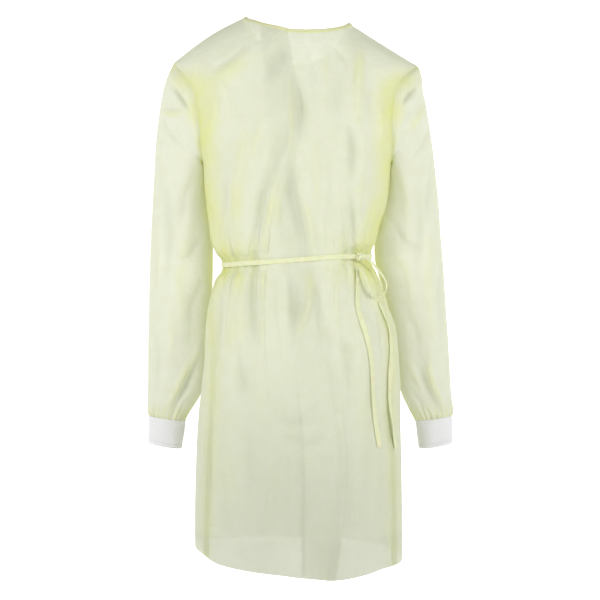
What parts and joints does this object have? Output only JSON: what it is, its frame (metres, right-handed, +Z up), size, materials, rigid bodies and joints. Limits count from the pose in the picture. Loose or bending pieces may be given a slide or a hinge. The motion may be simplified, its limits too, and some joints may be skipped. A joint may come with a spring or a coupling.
{
  "type": "isolation gown, filled out as worn",
  "caption": "Long-sleeved isolation gown of thin yellow cloth with knit cuffs, a lapped back and a waist tie knotted at the side, hollow and filled out as when worn.",
  "frame": {"origin": "midway between the neck ends of the two shoulder seams, where the wearer's shoulders carry the gown", "axes": "+Z up along the body; the lapped back faces -Y and the plain front faces +Y; +X to the wearer's right"},
  "size_m": [0.6284, 0.2871, 1.0871],
  "materials": {
    "front": "thin nonwoven, matt",
    "back_left": "thin nonwoven, matt",
    "back_right": "thin nonwoven, matt",
    "sleeve_left": "thin nonwoven, matt",
    "sleeve_right": "thin nonwoven, matt",
    "cuff_left": "rib knit",
    "cuff_right": "rib knit",
    "neck_binding": "folded nonwoven strip",
    "waist_tie": "folded nonwoven strip",
    "tie_knot": "folded nonwoven strip",
    "tie_loop": "folded nonwoven strip",
    "tie_end_left": "folded nonwoven strip",
    "tie_end_right": "folded nonwoven strip"
  },
  "bodies": {
    "root": {"front": "front", "back_left": "back_left", "back_right": "back_right", "sleeve_left": "sleeve_left", "sleeve_right": "sleeve_right", "cuff_left": "cuff_left", "cuff_right": "cuff_right", "neck_binding": "neck_binding", "waist_tie": "waist_tie", "tie_knot": "tie_knot", "tie_loop": "tie_loop", "tie_end_left": "tie_end_left", "tie_end_right": "tie_end_right"}
  },
  "joints": []
}
